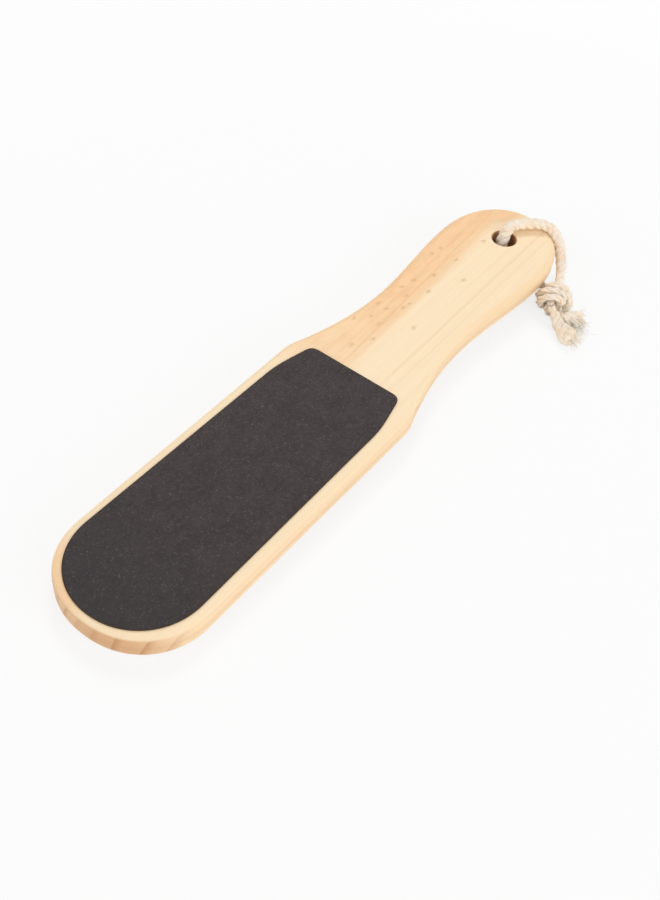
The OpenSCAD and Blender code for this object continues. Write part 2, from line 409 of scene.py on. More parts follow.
@dataclass(frozen=True)
class PineFinish:
    """Sanded pine with a thin satin coat: growth rings, fibres, a warm band and small flecks.

    Places are in the file's own millimetres, along it from the toe's tip and across it.
    """

    pale: Colour = (255, 230, 192)
    warm: Colour = (253, 209, 159)
    amber: Colour = (243, 191, 138)
    olive: Colour = (232, 200, 148)
    late_wood: Colour = (206, 154, 106)
    end_grain: Colour = (220, 168, 121)
    stripe: Colour = (182, 124, 78)
    fleck: Colour = (206, 158, 104)
    # The hole's wall: partly its darker drilled grain, partly painted shade
    bore_tone_and_shade: Colour = (150, 100, 62)
    # The toe's far half; painted shade on the grip's near edge; the painted shadow of the cord on the
    # rounded edge at the handle's end; and painted shade on the sides
    layers: tuple[WoodLayer, ...] = (
        WoodLayer((253, 209, 159), 0.7, along=(24, 8), across=(-2, 8)),
        WoodLayer((254, 222, 178), 0.8, along=(160, 204), across=(4, -6), turn=(0.0, 0.12)),
        WoodLayer((236, 192, 132), 0.65, along=(226, 254), across=(-17, -3), turn=(0.02, 0.3)),
        WoodLayer((251, 220, 178), 0.85, turn=(0.28, 0.75)),
    )
    # Places of the rings' dark lines across the wood, each with its depth
    ring_lines: tuple[Pair, ...] = ((-27.0, 0.4), (-22.2, 0.8), (-16.7, 1.0), (-8.8, 0.8), (-2.3, 0.4),
                                    (3.6, 0.35), (9.2, 0.75), (14.6, 0.5), (20.2, 0.6), (26.0, 0.5))
    ring_lean: float = 0.33
    ring_drift: float = 5.0
    ring_reach: float = 34
    ring_rise: float = 2.2
    ring_fall: float = 0.45
    ring_strength: float = 0.04
    # End grain: how far a wall turns from the faces and towards the ends, its strength, and how much of
    # that the far side loses
    end_turn: Span = (0.3, 0.62)
    end_facing: Span = (0.25, 0.9)
    end_strength: float = 0.8
    end_side: Span = (-6, 7)
    end_side_loss: float = 0.36
    stripe_turn: Span = (0.4, 0.8)
    # Border of the warm band: its distance from the middle at a place along the file, and its slope
    warm_from: Triple = (180, 5.6, 0.052)
    warm_border: Span = (-3.4, 3.6)
    warm_ragged: float = 3.0
    # Blotches in the band, and the seam along its border: its place from there and its fade
    amber_strength: float = 0.55
    olive_strength: float = 0.35
    seam_place: float = 0.6
    seam_fade: Span = (1.8, 0.2)
    # Where the band begins, grows to its full strength, and widens over the handle's end
    warm_start: Span = (118, 142)
    warm_growth: Span = (138, 194)
    warm_least: float = 0.64
    warm_end: Span = (246, 262)
    warm_widening: float = 7
    # Lines along the handle's face: distance from the middle under the hole, slope and depth
    face_lines: tuple[Triple, ...] = (
        (-10.3, 0.0, 0.5), (-14.3, 0.004, 0.24), (-5.2, 0.0, 0.12), (1.6, 0.01, 0.12),
        (12.3, 0.056, 0.5), (15.8, 0.05, 0.3))
    face_start: Span = (128, 150)
    face_wander: float = 1.2
    face_fade: Span = (1.0, 0.1)
    # Darker line along the middle of the sides
    core_height: float = 4.6
    core_width: float = 2.2
    core_wander: float = 4.0
    core_turn: Span = (0.6, 0.95)
    core_strength: float = 0.22
    # Shares of dark wood in the streaks, the fibres and the end grain's pores
    streak_strength: float = 0.07
    fibre_strength: float = 0.05
    pore_strength: float = 0.25
    flecks: tuple[Pair, ...] = (
        (156.6, 5.3), (164.7, 8.7), (166.2, 13.3), (161.1, 17.6), (173.6, 11.5), (178.8, 6.8),
        (172, -2.5), (182, 6.4), (188.6, 14.2), (193.4, 4.9), (203, 8.9), (195, 13.1),
        (208.7, -1.7), (217.2, 7.3), (213.5, 17), (219.4, 16.4), (235.4, 5.4), (174.6, 15.7),
        (185.3, 10.1), (148.5, 9.6))
    fleck_scale: Triple = (0.5, 0.8, 0)
    fleck_ragged: float = 1.6
    fleck_height: Span = (6.0, 8.0)
    fleck_strength: float = 0.5
    bore_radius: float = 5.45
    bore_rim: float = 0.25
    bore_tone_and_shade_strength: float = 0.8
    grain_depth: float = 0.03

    def build(self, frame: FileFrame) -> bpy.types.Material:
        """Builds the material.

        Args:
            frame: Frame of the file, on which the grain runs.

        Returns:
            The material.
        """
        material, graph = new_material("sanded_pine")
        spot = self.spot(graph, frame)
        rings = self.rings(graph, spot)
        colour = self.warm_band(graph, frame, spot)
        for layer in self.layers:
            colour = layer.over(graph, spot, colour)
        colour = self.growth(graph, spot, rings, colour)
        colour = self.lines(graph, frame, spot, colour)
        colour = graph.blend(self.fleck_mask(graph, spot) * self.fleck_strength, colour, self.fleck)
        # Darker drilled grain and painted shade on the hole's wall
        bore_tone_and_shade = self.bore_tone_and_shade_mask(spot.x - frame.hole_x, spot.y)
        colour = graph.blend(bore_tone_and_shade * self.bore_tone_and_shade_strength, colour, self.bore_tone_and_shade)
        height = spot.streaks * 0.5 + spot.fibres * 0.5 - rings * 0.35
        graph.surface({
            "Base Color": colour,
            "Roughness": 0.46 + spot.fibres * 0.12 + spot.end * spot.turn * 0.1,
            "Normal": graph.bump(height, self.grain_depth),
            "Specular IOR Level": 0.32,
            "Coat Weight": 0.07,
            "Coat Roughness": 0.4,
        })
        return material

    def spot(self, graph: Graph, frame: FileFrame) -> WoodSpot:
        """Works out what the shader knows about a place.

        Args:
            graph: The material's graph.
            frame: Frame of the file.

        Returns:
            The place's values.
        """
        place = frame.coordinates(graph)
        return WoodSpot(
            place, *graph.parts(place),
            end=abs(self.facing(graph, frame.along)),
            turn=1.0 - abs(self.facing(graph, frame.up)),
            streaks=graph.streaks(place, (0.014, 1.1, 1.1), 3, 0.6),
            fibres=graph.streaks(place, (0.10, 4.6, 4.6), 2, 0.6))

    @staticmethod
    def facing(graph: Graph, direction: Vector) -> Sock:
        """Gives how far the surface faces a direction, from -1 to 1."""
        sockets = {0: graph.coordinates("Normal"), 1: tuple(direction)}
        return graph.node("ShaderNodeVectorMath", {"operation": "DOT_PRODUCT"}, sockets, "Value")

    def warm_band(self, graph: Graph, frame: FileFrame, spot: WoodSpot) -> Sock:
        """Colours the pale wood and the warm band along the handle's far side, with its blotches.

        Args:
            graph: The material's graph.
            frame: Frame of the file.
            spot: The place on the wood.

        Returns:
            The colour.
        """
        start, middle, slope = self.warm_from
        border = (spot.y + (spot.z - frame.thickness) * self.ring_lean - middle
                  - (spot.x - start) * slope + spot.x.smooth(*self.warm_end) * self.warm_widening)
        ragged = graph.streaks(spot.place, (0.05, 0.35, 0.35))
        depth = border + (ragged - 0.5) * self.warm_ragged
        growth = self.warm_least + spot.x.smooth(*self.warm_growth) * (1 - self.warm_least)
        reach = spot.x.smooth(*self.warm_start) * growth
        band = depth.smooth(*self.warm_border) * reach
        blotches = graph.streaks(spot.place, (0.09, 0.3, 0.3), 3, 0.62)
        patches = graph.streaks(spot.place, (0.16, 0.45, 0.45))
        colour = graph.blend(band * (0.75 + spot.streaks * 0.5), self.pale, self.warm)
        amber = band * blotches.smooth(0.42, 0.7) * self.amber_strength
        colour = graph.blend(amber, colour, self.amber)
        olive = band * patches.smooth(0.5, 0.75) * self.olive_strength
        colour = graph.blend(olive, colour, self.olive)
        seam = abs(depth - self.seam_place).smooth(*self.seam_fade) * reach
        return graph.blend(seam * (0.1 + blotches.smooth(0.6, 0.4) * 0.25), colour, self.olive)

    def rings(self, graph: Graph, spot: WoodSpot) -> Sock:
        """Gives the depth of the growth rings' dark lines.

        Args:
            graph: The material's graph.
            spot: The place on the wood.

        Returns:
            The depth, from 0 to 1.
        """
        drift = graph.streaks(spot.place, (0.010, 0.035, 0.035), 1)
        across = spot.y + spot.z * self.ring_lean + (drift - 0.5) * self.ring_drift
        stops = [(0.0, 0.0)]
        for line, depth in self.ring_lines:
            steps = ((line - self.ring_rise, 0.0), (line, depth), (line + self.ring_fall, 0.0))
            stops += [((at + self.ring_reach) / (2 * self.ring_reach), grey) for at, grey in steps]
        share = (across + self.ring_reach) / (2 * self.ring_reach)
        return graph.node("ShaderNodeValToRGB", {"stops": stops}, {"Fac": share})

    def growth(self, graph: Graph, spot: WoodSpot, rings: Sock, colour: Sock) -> Sock:
        """Lays the end grain and the growth rings over the wood.

        Args:
            graph: The material's graph.
            spot: The place on the wood.
            rings: Depth of the rings' dark lines.
            colour: The colour under them.

        Returns:
            The mixed colour.
        """
        strength = self.end_strength - spot.y.smooth(*self.end_side) * self.end_side_loss
        wall = spot.turn.smooth(*self.end_turn) * strength
        colour = graph.blend(spot.end.smooth(*self.end_facing) * wall, colour, self.end_grain)
        face_rings = rings * (0.6 + spot.streaks * 0.8) * self.ring_strength
        colour = graph.blend(face_rings, colour, self.late_wood)
        stripes = rings * spot.end * spot.turn.smooth(*self.stripe_turn)
        return graph.blend(stripes * (0.5 + spot.streaks * 0.5), colour, self.stripe)

    def lines(self, graph: Graph, frame: FileFrame, spot: WoodSpot, colour: Sock) -> Sock:
        """Lays the face's thin lines, the sides' dark line and the fine grain over the wood.

        Args:
            graph: The material's graph.
            frame: Frame of the file.
            spot: The place on the wood.
            colour: The colour under them.

        Returns:
            The mixed colour.
        """
        wave = graph.streaks(spot.place, (0.018, 0.05, 0.05), 1)
        bent = spot.y + (wave - 0.5) * self.face_wander
        marks = [abs(bent - line - (spot.x - frame.hole_x) * slope).smooth(*self.face_fade) * depth
                 for line, slope, depth in self.face_lines]
        face = sum(marks[1:], start=marks[0]) * spot.x.smooth(*self.face_start)
        colour = graph.blend(face * (0.14 + spot.streaks * 0.34), colour, self.late_wood)
        rise = spot.z - self.core_height + (spot.streaks - 0.5) * self.core_wander
        core = abs(rise / self.core_width).smooth(1.0, 0.0) * spot.turn.smooth(*self.core_turn)
        colour = graph.blend(core * self.core_strength, colour, self.late_wood)
        pores = graph.streaks(spot.place, (0.9, 5.0, 5.0), 2, 0.6)
        grain = (spot.streaks.smooth(0.4, 0.85) * self.streak_strength
                 + spot.fibres.smooth(0.5, 0.85) * self.fibre_strength
                 + pores.smooth(0.62, 0.8) * spot.end * spot.turn * self.pore_strength)
        return graph.blend(grain, colour, self.late_wood)

    def fleck_mask(self, graph: Graph, spot: WoodSpot) -> Sock:
        """Marks the short soft flecks on the upper side of the handle.

        Args:
            graph: The material's graph.
            spot: The place on the wood.

        Returns:
            The share of the fleck's colour.
        """
        scaled = graph.stretch(spot.place, self.fleck_scale)
        ragged = graph.noise(spot.place, 0.9, 2)
        nearest = None
        for fleck_x, fleck_y in self.flecks:
            centre = (fleck_x * self.fleck_scale[0], fleck_y * self.fleck_scale[1], 0)
            gap = graph.node("ShaderNodeVectorMath", {"operation": "DISTANCE"}, {0: scaled, 1: centre},
                             "Value")
            nearest = gap if nearest is None else nearest.least(gap)
        spots = (nearest + (ragged - 0.5) * self.fleck_ragged).smooth(1.0, 0.0)
        return spots * spot.z.smooth(*self.fleck_height)

    def bore_tone_and_shade_mask(self, x: Sock, y: Sock) -> Sock:
        """Marks the hanging hole's wall, with its darker grain and painted shade, by the distance from
        its axis.
        """
        return (x * x + y * y).math("SQRT").smooth(self.bore_radius, self.bore_radius - self.bore_rim)


@dataclass(frozen=True)
class GritFinish:
    """Abrasive grains in dark resin."""

    name: str
    resin: Colour
    grain: Colour
    olive: Colour
    toe: Colour
    speck: Colour
    # The sheet's edge: the cut edge's darker tone and a painted contact shadow
    rim: Colour
    grain_size: float
    toe_span: Span = (55, 5)

    def build(self, frame: FileFrame) -> bpy.types.Material:
        """Builds the material.

        Args:
            frame: Frame of the file.

        Returns:
            The material.
        """
        material, graph = new_material(self.name)
        place = frame.coordinates(graph)
        x, _, _ = graph.parts(place)
        clouds = graph.noise(place, 0.16, 3, 0.6)
        blotch = graph.noise(place, 0.62, 3, 0.65)
        hue = graph.streaks(place, (0.33, 0.33, 0.33))
        grains = graph.cells(place, 1 / self.grain_size)
        tone, sparkle, _ = graph.parts(graph.cells(place, 1 / self.grain_size, "Color"))
        patches = clouds.smooth(0.3, 0.7) * 0.45 + blotch.smooth(0.35, 0.7) * 0.55
        colour = graph.blend(patches, self.resin, self.grain)
        for share, tint in (
            (hue.smooth(0.45, 0.68) * 0.5, self.olive),
            (x.smooth(*self.toe_span) * 0.55, self.toe),
            (tone.smooth(0.1, 1.0) * 0.15, self.grain),
            (sparkle.smooth(0.93, 1.0) * 0.3, self.speck),
            (grains.smooth(0.35, 0.75) * 0.25, self.resin),
            # The cut edge's darker tone and a painted contact shadow along the sheet's edge
            (graph.attribute("rim") * 0.8, self.rim),
        ):
            colour = graph.blend(share, colour, tint)
        height = 1.0 - grains.smooth(0.0, 0.8) + blotch * 0.4
        graph.surface({
            "Base Color": colour,
            "Roughness": 0.78 - sparkle.smooth(0.8, 1.0) * 0.35,
            "Normal": graph.bump(height, self.grain_size * 0.45, 0.7),
            "Specular IOR Level": 0.35,
        })
        return material


@dataclass(frozen=True)
class LayerFinish:
    """A thin layer whose cut edge shows: woven backing cloth or adhesive film."""

    name: str
    light: Colour
    dark: Colour
    weave: float
    roughness: float
    depth: float

    def build(self, frame: FileFrame) -> bpy.types.Material:
        """Builds the material.

        Args:
            frame: Frame of the file.

        Returns:
            The material.
        """
        material, graph = new_material(self.name)
        place = frame.coordinates(graph)
        x, y, _ = graph.parts(place)
        threads = (x * self.weave).math("SINE") * (y * self.weave).math("SINE")
        patches = graph.noise(place, 0.9, 3)
        share = patches.smooth(0.3, 0.7) * 0.6 + threads * 0.2 + 0.2
        graph.surface({
            "Base Color": graph.blend(share, self.dark, self.light),
            "Roughness": patches * 0.1 + self.roughness,
            "Normal": graph.bump(threads * 0.5 + patches * 0.5, self.depth),
        })
        return material


@dataclass(frozen=True)
class CottonFinish:
    """Undyed cotton: pale yarns, with painted shade in the creases between them."""

    name: str = "undyed_cotton"
    pale: Colour = (253, 243, 228)
    warm: Colour = (253, 229, 199)
    # Colour of the painted shade in the creases; the random mottle takes it too
    crease: Colour = (227, 199, 173)
    fibre: Colour = (241, 224, 207)
    fibre_scale: Triple = (26, 0.8, 0)
    fibre_depth: float = 0.05

    def build(self) -> bpy.types.Material:
        """Builds the material on the pieces' own UV map, which runs round and along each ply.

        Returns:
            The material.
        """
        material, graph = new_material(self.name)
        along = graph.node("ShaderNodeUVMap", {"uv_map": "UVMap"}, {})
        place = graph.coordinates()
        fibres = graph.streaks(along, self.fibre_scale, 3, 0.6)
        patches = graph.noise(place, 260, 3, 0.6)
        mottle = graph.noise(place, 620, 2)
        colour = graph.blend(patches.smooth(0.35, 0.7) * 0.8, self.pale, self.warm)
        for share, tint in (
            (fibres.smooth(0.45, 0.75) * 0.3, self.fibre),
            # Random mottle in the painted shade's colour, then the painted shade stored on the mesh
            (mottle.smooth(0.5, 0.7) * 0.35, self.crease),
            (graph.attribute("crease").smooth(0.2, 1.0) * 0.6, self.crease),
        ):
            colour = graph.blend(share, colour, tint)
        graph.surface({
            "Base Color": colour,
            "Roughness": 0.9,
            "Normal": graph.bump(fibres, self.fibre_depth, 0.8),
            "Specular IOR Level": 0.2,
            "Sheen Weight": 0.25,
            "Sheen Roughness": 0.5,
        })
        return material


def make_piece(bm: bmesh.types.BMesh, name: str, material: bpy.types.Material,
               body: str, slot: str) -> bpy.types.Object:
    """Turns a finished bmesh into a piece of the scene, shaded smooth.

    Args:
        bm: The shape, in metres in the row frame. It is freed.
        name: The piece's name.
        material: Its finish.
        body: The body that it rides on.
        slot: Not used.

    Returns:
        The object.
    """
    for face in bm.faces:
        face.smooth = True
    mesh = bpy.data.meshes.new(name)
    bm.to_mesh(mesh)
    bm.free()
    mesh.materials.append(material)
    piece = add_object(name, mesh)
    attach(piece, body)
    LOG.info("%s: %d faces on %s", name, len(mesh.polygons), body)
    return piece


@dataclass
class WoodPaddle:
    """The wood: a merged copy of its CAD node, shaded smooth over its rounded edges."""

    frame: FileFrame
    finish: PineFinish = field(default_factory=PineFinish)
    merge_gap: float = 0.001
    flat_gap: float = 0.01
    sharp_angle: float = 30

    def build(self, node: bpy.types.Object) -> bpy.types.Object:
        """Builds the piece and lets it stand for the node.

        Args:
            node: The CAD node of the wood.

        Returns:
            The piece.
        """
        bm = bmesh.new()
        bm.from_mesh(node.data)
        bmesh.ops.remove_doubles(bm, verts=bm.verts[:], dist=self.merge_gap * MM)
        self.refill_flats(bm)
        normals = self.corner_normals(bm)
        piece = make_piece(bm, "wood_paddle", self.finish.build(self.frame), "file", "wood")
        piece.data.normals_split_custom_set(normals)
        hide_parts(node.name)
        return piece

    def refill_flats(self, bm: bmesh.types.BMesh) -> None:
        """Fills both flat faces anew, so that no sliver in them is folded over.

        Args:
            bm: The merged wood.
        """
        back = self.frame.matrix.inverted()
        for level in (0, self.frame.thickness):
            flat = [face for face in bm.faces
                    if all(abs((back @ vert.co).z - level) < self.flat_gap for vert in face.verts)]
            bmesh.ops.delete(bm, geom=flat, context="FACES")
            border = [edge for edge in bm.edges if edge.is_boundary]
            bmesh.ops.triangle_fill(bm, use_beauty=True, edges=border)
        bmesh.ops.recalc_face_normals(bm, faces=bm.faces[:])

    def corner_normals(self, bm: bmesh.types.BMesh) -> list[Vector]:
        """Works out a normal for each face corner: level on the two faces, smooth over the edges.

        Args:
            bm: The merged wood.

        Returns:
            The normals, in the order of the faces' corners.
        """
        bm.normal_update()
        back = self.frame.matrix.inverted()
        levels = {}
        for vert in bm.verts:
            height = (back @ vert.co).z
            near_top = abs(height - self.frame.thickness) < self.flat_gap
            levels[vert] = 1 if near_top else -1 if abs(height) < self.flat_gap else 0
        limit = math.cos(math.radians(self.sharp_angle))
        normals = []
        for face in bm.faces:
            side = {levels[vert] for vert in face.verts}
            flat = len(side) == 1 and 0 not in side
            for loop in face.loops:
                level = self.frame.up * levels[loop.vert]
                if flat or (levels[loop.vert] and face.normal.dot(level) > limit):
                    normals.append(level)
                    continue
                near = [other for other in loop.vert.link_faces if other.normal.dot(face.normal) > limit]
                total = sum((other.normal * other.calc_area() for other in near), Vector())
                normals.append(total.normalized())
        return normals


class Side(Enum):
    """The two faces of the file, each with the sign of its outward direction."""

    FRONT = 1
    REAR = -1


@dataclass
class AbrasiveSheet:
    """One abrasive sheet: a grit coat with real grains on a backing cloth and an adhesive film."""

    frame: FileFrame
    side: Side
    grit: GritFinish
    relief: float
    coat: str
    cloth: str
    film: str
    seed: float = 0.0
    cell: float = 0.34
    toe_share: float = 0.3
    edge_fade: Span = (-0.1, 0.5)
    rim_width: float = 0.75
    cloth_finish: LayerFinish = LayerFinish(
        "backing_cloth", light=(92, 74, 56), dark=(52, 42, 34), weave=12.0, roughness=0.8, depth=0.04)
    film_finish: LayerFinish = LayerFinish(
        "adhesive_film", light=(206, 184, 150), dark=(176, 148, 110), weave=3.0, roughness=0.5,
        depth=0.01)

    def build(self, nodes: dict[str, bpy.types.Object]) -> bpy.types.Object:
        """Builds the grit coat and dresses the layers under it.

        Args:
            nodes: The CAD nodes by name.

        Returns:
            The grit coat's piece.
        """
        for name, finish in ((self.cloth, self.cloth_finish), (self.film, self.film_finish)):
            nodes[name].data.materials.clear()
            nodes[name].data.materials.append(finish.build(self.frame))
        points = [self.frame.matrix.inverted() @ v.co for v in nodes[self.coat].data.vertices]
        heights = [point.z for point in points]
        outer, inner = max(heights), min(heights)
        if self.side is Side.REAR:
            outer, inner = inner, outer
        bm = self.surface(self.half_outline(points), outer)
        self.close(bm, inner)
        bm.transform(self.frame.matrix)
        bmesh.ops.recalc_face_normals(bm, faces=bm.faces[:])
        material = self.grit.build(self.frame)
        piece = make_piece(bm, self.coat + "_grains", material, "file", self.grit.name)
        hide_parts(self.coat)
        return piece

    def half_outline(self, points: Sequence[Vector]) -> list[Pair]:
        """Samples half of the sheet's outline evenly, from the toe to the square end.

        Args:
            points: The CAD coat's points in the file's frame.

        Returns:
            Distance from the toe and half width of each row of the grid.
        """
        corners = sorted({(round(p.x, 3), round(p.y, 3)) for p in points if p.y > -0.001},
                         key=lambda c: (c[0], -c[1]))
        # The square end's points on the middle line aren't part of the border
        corners = [c for c in corners if not (c[1] < 1 and c[0] > corners[0][0] + 1)]
        rows = [self.between(corners[0], corners[1], self.toe_share)]
        for start, end in zip(corners[1:], corners[2:]):
            steps = max(1, round(math.dist(start, end) / self.cell))
            rows += [self.between(start, end, k / steps) for k in range(steps)]
        return rows + [corners[-1]]

    @staticmethod
    def between(start: Pair, end: Pair, share: float) -> Pair:
        """Gives the point at a share of the way between two points."""
        return mix(start[0], end[0], share), mix(start[1], end[1], share)

    def surface(self, rows: list[Pair], outer: float) -> bmesh.types.BMesh:
        """Lays a grid over the outline and raises its grains, in the file's frame.

        Args:
            rows: Distance from the toe and half width of each row.
            outer: Height of the grains' tops.

        Returns:
            The open surface.
        """
        bm = bmesh.new()
        rim = bm.verts.layers.float.new("rim")
        widest = max(half for _, half in rows)
        last = len(rows) - 1
        bmesh.ops.create_grid(bm, x_segments=last, y_segments=round(2 * widest / self.cell), size=0.5)
        end = rows[-1][0]
        for vert in bm.verts:
            x, half = rows[round((vert.co.x + 0.5) * last)]
            y = 2 * half * vert.co.y
            edge_gap = min(half - abs(y), end - x, self.toe_gap(x, y, rows[0][0], widest))
            height = self.grain_height(x, y) * smooth_step(*self.edge_fade, edge_gap)
            vert.co = (x, y, outer - self.side.value * self.relief * (1 - height))
            # Band along the edge for the cut edge's tone and the painted contact shadow
            vert[rim] = 1 - smooth_step(0.0, self.rim_width, edge_gap)
        return bm

    @staticmethod
    def toe_gap(x: float, y: float, tip: float, widest: float) -> float:
        """Gives the rough distance to the outline within the round toe.

        Args:
            x: Distance from the toe's tip.
            y: Distance across.
            tip: The sheet's own tip.
            widest: Half of its greatest width.

        Returns:
            The distance, which is widest past the round part.
        """
        if x > tip + widest:
            return widest
        return widest - math.hypot(tip + widest - x, y)

    def grain_height(self, x: float, y: float) -> float:
        """Gives the height of the grains at a place.

        Args:
            x: Distance from the toe's tip.
            y: Distance across.

        Returns:
            The height, from 0 in the resin to 1 on a grain.
        """
        spot = Vector((x, y, self.seed))
        grains = 1 - min(noise.voronoi(spot / self.grit.grain_size * 0.5)[0][0] * 1.5, 1)
        patches = 0.5 + 0.5 * noise.noise(spot * 0.5)
        loose = 0.5 + 0.5 * noise.noise(spot * 2.7)
        return min(max(0.5 * grains + 0.2 * patches + 0.3 * loose, 0), 1)

    @staticmethod
    def close(bm: bmesh.types.BMesh, inner: float) -> None:
        """Draws the grid's border down to the backing cloth and closes it there.

        Args:
            bm: The open surface, in the file's frame.
            inner: Height of the coat's face on the cloth.
        """
        border = [edge for edge in bm.edges if edge.is_boundary]
        drawn = bmesh.ops.extrude_edge_only(bm, edges=border)["geom"]
        for vert in drawn:
            if isinstance(vert, bmesh.types.BMVert):
                vert.co.z = inner
        base = [edge for edge in drawn if isinstance(edge, bmesh.types.BMEdge) and edge.is_boundary]
        bmesh.ops.contextual_create(bm, geom=base)


@dataclass
class Twine:
    """The route, thickness and lay of the hanging cord, in mm in the row frame."""

    cord_d: float = 4.2
    knot_strand_d: float = 3.1
    tail_end_d: float = 5.6
    knot_place: Vector = field(default_factory=lambda: Vector((101.4, -31.4, 5.4)))
    knot_heading: float = 33
    knot_play: float = 0.36
    knot_flat_share: float = 0.72
    knot_steps: int = 176
    # A strand's way through the knot: round its middle, and the shares of the strand on which it goes
    # up the middle, down round it, outwards, back inwards, and round
    knot_turn: float = 450
    knot_first_angle: float = 45
    knot_up: tuple[Span, Span] = ((-0.05, 0.32), (0.68, 1.05))
    knot_down: Span = (0.32, 0.68)
    knot_out: Span = (0.23, 0.384)
    knot_in: Span = (0.616, 0.77)
    knot_round: Span = (0.27, 0.73)
    curve_steps: int = 8
    draw_length: float = 17
    spacing: float = 0.3
    heading_reach: int = 2
    loop_route: tuple[Triple, ...] = (
        (111.9, -27.6, 6.8), (115.6, -26.15, 7.3), (118.8, -24.25, 8.3), (122.1, -21.85, 9.8),
        (125.15, -19.15, 12), (127.2, -15.9, 14.3), (127.6, -12.1, 16.3), (126.2, -8.2, 17.2),
        (123.5, -4.8, 17.2), (120.3, -2, 17.2), (117.2, -0.1, 17.2), (114.3, 0.8, 16.4),
        (112, 1, 13.9), (110.8, 0.8, 10.6), (110.3, 0.2, 7.5), (110.2, -1.3, 4.7),
        (110.3, -4, 2.55), (110.4, -8, 2.15), (110.4, -12.8, 2.15), (110.2, -17.2, 2.15),
        (109.6, -21, 2.35), (108.2, -24.1, 3.15),
    )
    tail_a_route: tuple[Triple, ...] = ((92.8, -37.2, 4.6), (90.8, -40, 3.6), (89.4, -43.4, 3.1),
                                        (87.6, -46.4, 2.9), (85.7, -49.2, 2.9))
    tail_b_route: tuple[Triple, ...] = ((96.2, -38.2, 3.6), (98.7, -40.7, 3), (100.4, -43.5, 2.9),
                                        (101.8, -46.6, 2.9))

    def __post_init__(self) -> None:
        """Works out the whole line and the frames along it."""
        strand_gap = self.knot_strand_d + self.knot_play
        self.core_r = strand_gap / math.sqrt(2)
        self.wrap_r = self.core_r + self.knot_strand_d + self.knot_play
        self.wrap_top = strand_gap * self.knot_turn / 360
        self.lead_steps = self.knot_steps * 3 // 44
        self.lay_line()
        self.lay_frames()

    def knot_point(self, half: int, share: float) -> Vector:
        """Gives a place on one strand of the knot.

        Args:
            half: Number of the strand, 0 or 1.
            share: Share of the strand, from the tails' side to the loop's side.

        Returns:
            The place.
        """
        lead = self.wrap_top + self.knot_strand_d
        up = sum(smooth_step(*span, share) for span in self.knot_up)
        down = smooth_step(*self.knot_down, share)
        along = (self.wrap_top + lead) * up - 2 * self.wrap_top * down - lead
        out = self.core_r + (self.wrap_r - self.core_r) * (
            smooth_step(*self.knot_out, share) - smooth_step(*self.knot_in, share))
        angle = math.radians(self.knot_first_angle + 180 * half
                             + self.knot_turn * smooth_step(*self.knot_round, share))
        turned = Matrix.Rotation(math.radians(self.knot_heading), 3, "Z") @ Vector(
            (along, out * math.cos(angle), out * math.sin(angle) * self.knot_flat_share))
        return self.knot_place + turned

    def strand(self, half: int) -> list[Vector]:
        """Gives one strand of the knot as points."""
        return [self.knot_point(half, k / self.knot_steps) for k in range(self.knot_steps + 1)]

    def curve(self, route: Sequence[Vector]) -> list[Vector]:
        """Gives a Catmull-Rom curve through every point but the first and the last.

        Args:
            route: The points.

        Returns:
            The curve's points, without its last.
        """
        line = []
        for a, b, c, d in zip(route, route[1:], route[2:], route[3:]):
            for step in range(self.curve_steps):
                u = step / self.curve_steps
                line.append((2 * b + (c - a) * u + (2 * a - 5 * b + 4 * c - d) * u * u
                             + (3 * b - a - 3 * c + d) * u * u * u) / 2)
        return line

    def tail(self, strand: list[Vector], points: Sequence[Triple]) -> list[Vector]:
        """Gives a tail's line from the knot to its tip.

        Args:
            strand: The strand that it comes out of.
            points: The tail's route.

        Returns:
            The line's points.
        """
        route = [Vector(point) for point in points]
        ends = [strand[self.lead_steps], strand[0]]
        return self.curve(ends + route + [2 * route[-1] - route[-2]]) + [route[-1]]

    def lay_line(self) -> None:
        """Joins tails, strands and loop in one line with even spacing, and notes where each begins."""
        strand_a, strand_b = self.strand(0), self.strand(1)
        before_end = -1 - self.lead_steps
        loop = self.curve([strand_a[before_end], strand_a[-1]] + [Vector(p) for p in self.loop_route]
                          + [strand_b[-1], strand_b[before_end]])
        tail_a, tail_b = self.tail(strand_a, self.tail_a_route), self.tail(strand_b, self.tail_b_route)
        stretches = (tail_a[::-1], strand_a[1:-1], loop, strand_b[::-1], tail_b[1:])
        raw = [point for stretch in stretches for point in stretch]
        run = [0.0]
        for before, after in zip(raw, raw[1:]):
            run.append(run[-1] + (after - before).length)
        counts = [len(stretch) for stretch in stretches]
        ends = [sum(counts[:k + 1]) - 1 for k in range(4)]
        self.length = run[-1]
        self.tail_a_end = run[ends[0]]
        self.loop_start = run[ends[1] + 1]
        self.loop_end = run[ends[2] + 1]
        self.tail_b_start = run[ends[3]]
        count = round(self.length / self.spacing)
        self.step = self.length / count
        self.points = []
        place = 0
        for k in range(count + 1):
            at = min(k * self.step, self.length)
            while place < len(run) - 2 and run[place + 1] < at:
                place += 1
            share = (at - run[place]) / (run[place + 1] - run[place])
            self.points.append(raw[place].lerp(raw[place + 1], share))

    def lay_frames(self) -> None:
        """Carries a side direction along the line without turning it about the line."""
        last = len(self.points) - 1
        reach = self.heading_reach
        self.headings = [
            (self.points[min(k + reach, last)] - self.points[max(k - reach, 0)]).normalized()
            for k in range(last + 1)]
        side = Vector((0, 0, 1))
        self.sides = []
        for heading in self.headings:
            side = (side - heading * side.dot(heading)).normalized()
            self.sides.append(side)

    def index(self, at: float) -> int:
        """Gives the number of the point nearest to a distance along the cord."""
        return min(max(round(at / self.step), 0), len(self.points) - 1)

    def into_loop(self, at: float) -> float:
        """Gives how far a place lies inside the loop from its nearer end."""
        return min(at - self.loop_start, self.loop_end - at)

